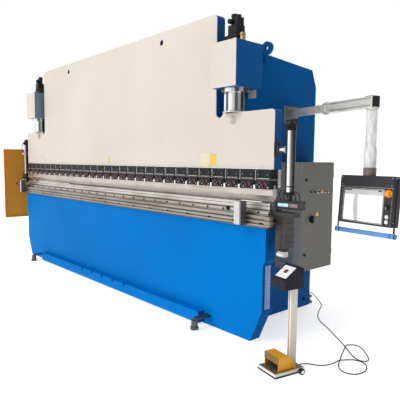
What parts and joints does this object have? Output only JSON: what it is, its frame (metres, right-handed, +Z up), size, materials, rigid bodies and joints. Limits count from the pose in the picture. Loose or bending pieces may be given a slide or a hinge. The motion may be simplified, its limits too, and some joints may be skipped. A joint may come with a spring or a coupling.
{
  "type": "hydraulic press brake",
  "caption": "Large hydraulic press brake with a tall ram plate on side cylinders, a die table, back gauge, swinging control panel arm and a foot switch on a wheeled stand.",
  "frame": {"origin": "middle of the bed plate's length, on the floor, level with the front face of the ram", "axes": "+X along the bed to the operator's right, +Y to the rear, +Z up"},
  "size_m": [6.1395, 1.715, 2.766],
  "materials": {
    "machine_blue": "satin",
    "ram_cream": "satin",
    "ground_steel": "ground",
    "tool_steel": "ground",
    "black_metal": "satin",
    "cast_dark": "cast",
    "grey_paint": "textured",
    "bright_chrome": "polished",
    "arm_aluminium": "brushed",
    "black_anodised": "gloss",
    "silver_steel": "bright",
    "amber_paint": "satin",
    "beige_paint": "satin",
    "panel_dark": "satin",
    "grip_blue": "matte",
    "navy_plastic": "gloss",
    "black_plastic": "matte",
    "amber_plastic": "gloss",
    "white_plastic": "gloss",
    "black_rubber": "matte"
  },
  "bodies": {
    "machine": {"bed_plate": "machine_blue", "toe_apron": "machine_blue", "levelling_feet": "ground_steel", "left_frame": "machine_blue", "right_frame": "machine_blue", "rear_tie_beams": "machine_blue", "ram_guide_rails": "ground_steel", "cylinder_housings": "ram_cream", "cylinder_barrels": "silver_steel", "prefill_valves": "black_metal", "hydraulic_pipes": "black_metal", "oil_tank": "machine_blue", "pump_motor": "black_metal", "table_rail": "ground_steel", "table_plate": "ground_steel", "lower_die": "tool_steel", "front_rail": "silver_steel", "crowning_drive": "cast_dark", "gauge_rails": "grey_paint", "cabinet_shell": "grey_paint", "switchgear": "black_plastic", "arm_bracket": "grey_paint", "stand_frame": "beige_paint", "stand_console": "navy_plastic", "pedal_hood": "amber_paint", "cable_glands": "black_plastic", "pedal_cable": "black_rubber", "guard_post": "black_metal"},
    "crowning": {"crowning_wedge": "tool_steel"},
    "ram": {"ram_plate": "ram_cream", "piston_rods": "bright_chrome", "backing_bar": "silver_steel", "punch_clamps": "black_metal", "clamp_bolts": "silver_steel", "upper_punch": "tool_steel"},
    "right_laser": {"laser_right": "black_anodised"},
    "left_laser": {"laser_left": "black_anodised"},
    "gauge": {"gauge_beam": "ground_steel"},
    "left_finger": {"gauge_finger_left": "silver_steel"},
    "right_finger": {"gauge_finger_right": "silver_steel"},
    "right_support": {"sheet_support_right": "silver_steel"},
    "left_support": {"sheet_support_left": "silver_steel"},
    "guard": {"side_guard": "amber_paint"},
    "door": {"cabinet_door": "grey_paint"},
    "door_button_1": {"door_button_left": "black_plastic"},
    "door_button_2": {"door_button_right": "black_plastic"},
    "door_switch": {"main_switch": "black_plastic"},
    "upper_lock": {"door_lock_upper": "black_plastic"},
    "lower_lock": {"door_lock_lower": "black_plastic"},
    "first_link": {"arm_link_1": "arm_aluminium"},
    "second_link": {"arm_link_2": "arm_aluminium"},
    "pendant": {"pendant_tube": "arm_aluminium", "control_panel": "panel_dark", "panel_grip": "grip_blue"},
    "estop": {"panel_estop": "amber_plastic"},
    "selector": {"panel_selector": "black_plastic"},
    "upper_button": {"panel_button_upper": "white_plastic"},
    "lower_button": {"panel_button_lower": "white_plastic"},
    "pedal": {"foot_pedal": "black_plastic"},
    "wheels": {"stand_wheels": "black_rubber"}
  },
  "joints": [
    {"name": "crowning_travel", "type": "slide", "parent": "machine", "child": "crowning", "axis": [1, 0, 0], "range_m": [-0.03, 0.03]},
    {"name": "ram_stroke", "type": "slide", "parent": "machine", "child": "ram", "axis": [0, 0, 1], "range_m": [-0.006, 0.15]},
    {"name": "right_laser_height", "type": "slide", "parent": "ram", "child": "right_laser", "axis": [0, 0, 1], "range_m": [0, 0.12]},
    {"name": "left_laser_height", "type": "slide", "parent": "ram", "child": "left_laser", "axis": [0, 0, 1], "range_m": [0, 0.12]},
    {"name": "gauge_depth", "type": "slide", "parent": "machine", "child": "gauge", "axis": [0, 1, 0], "range_m": [-0.24, 0.3]},
    {"name": "left_finger_travel", "type": "slide", "parent": "gauge", "child": "left_finger", "axis": [1, 0, 0], "range_m": [-0.9, 0.6]},
    {"name": "right_finger_travel", "type": "slide", "parent": "gauge", "child": "right_finger", "axis": [1, 0, 0], "range_m": [-0.6, 0.9]},
    {"name": "right_support_travel", "type": "slide", "parent": "machine", "child": "right_support", "axis": [1, 0, 0], "range_m": [-2, 0.18]},
    {"name": "left_support_travel", "type": "slide", "parent": "machine", "child": "left_support", "axis": [1, 0, 0], "range_m": [0, 2]},
    {"name": "guard_swing", "type": "hinge", "parent": "machine", "child": "guard", "pos_m": [-2.81, 0.222, 1.1], "axis": [0, 0, 1], "range_deg": [-100, 0]},
    {"name": "door_swing", "type": "hinge", "parent": "machine", "child": "door", "pos_m": [2.338, 1.104, 0.989], "axis": [0, 0, 1], "range_deg": [0, 120]},
    {"name": "door_button_1_press", "type": "slide", "parent": "door", "child": "door_button_1", "axis": [-1, 0, 0], "range_m": [0, 0.004], "stiffness_N_per_m": 600, "springref_m": -0.002},
    {"name": "door_button_2_press", "type": "slide", "parent": "door", "child": "door_button_2", "axis": [-1, 0, 0], "range_m": [0, 0.004], "stiffness_N_per_m": 600, "springref_m": -0.002},
    {"name": "door_switch_turn", "type": "hinge", "parent": "door", "child": "door_switch", "pos_m": [2.349, 0.734, 0.965], "axis": [1, 0, 0], "range_deg": [0, 90]},
    {"name": "upper_lock_turn", "type": "hinge", "parent": "door", "child": "upper_lock", "pos_m": [2.349, 0.652, 1.329], "axis": [1, 0, 0], "range_deg": [0, 90]},
    {"name": "lower_lock_turn", "type": "hinge", "parent": "door", "child": "lower_lock", "pos_m": [2.349, 0.652, 0.64], "axis": [1, 0, 0], "range_deg": [0, 90]},
    {"name": "first_link_swing", "type": "hinge", "parent": "machine", "child": "first_link", "pos_m": [2.15, 0.742, 1.95], "axis": [0, 0, 1], "range_deg": [-10, 60]},
    {"name": "second_link_swing", "type": "hinge", "parent": "first_link", "child": "second_link", "pos_m": [2.54855, 0.62997, 1.95], "axis": [0, 0, 1], "range_deg": [-15, 60]},
    {"name": "pendant_turn", "type": "hinge", "parent": "second_link", "child": "pendant", "pos_m": [3.03953, 0.49196, 1.9], "axis": [0, 0, 1], "range_deg": [-45, 45]},
    {"name": "estop_press", "type": "slide", "parent": "pendant", "child": "estop", "axis": [0.1163, 0.9902, -0.0767], "range_m": [0, 0.006], "stiffness_N_per_m": 800, "springref_m": -0.002},
    {"name": "selector_turn", "type": "hinge", "parent": "pendant", "child": "selector", "pos_m": [3.23379, 0.40566, 1.17019], "axis": [0.1163, 0.9902, -0.0767], "range_deg": [0, 90]},
    {"name": "upper_button_press", "type": "slide", "parent": "pendant", "child": "upper_button", "axis": [0.1163, 0.9902, -0.0767], "range_m": [0, 0.004], "stiffness_N_per_m": 600, "springref_m": -0.002},
    {"name": "lower_button_press", "type": "slide", "parent": "pendant", "child": "lower_button", "axis": [0.1163, 0.9902, -0.0767], "range_m": [0, 0.004], "stiffness_N_per_m": 600, "springref_m": -0.002},
    {"name": "pedal_press", "type": "hinge", "parent": "machine", "child": "pedal", "pos_m": [2.92801, -0.23489, 0.058], "axis": [0.9781, -0.2079, 0], "range_deg": [0, 7], "stiffness_Nm_per_rad": 20, "springref_deg": -5.73},
    {"name": "wheel_spin", "type": "hinge", "parent": "machine", "child": "wheels", "pos_m": [2.93508, -0.20163, 0.022], "axis": [0.9781, -0.2079, 0], "continuous": true}
  ]
}
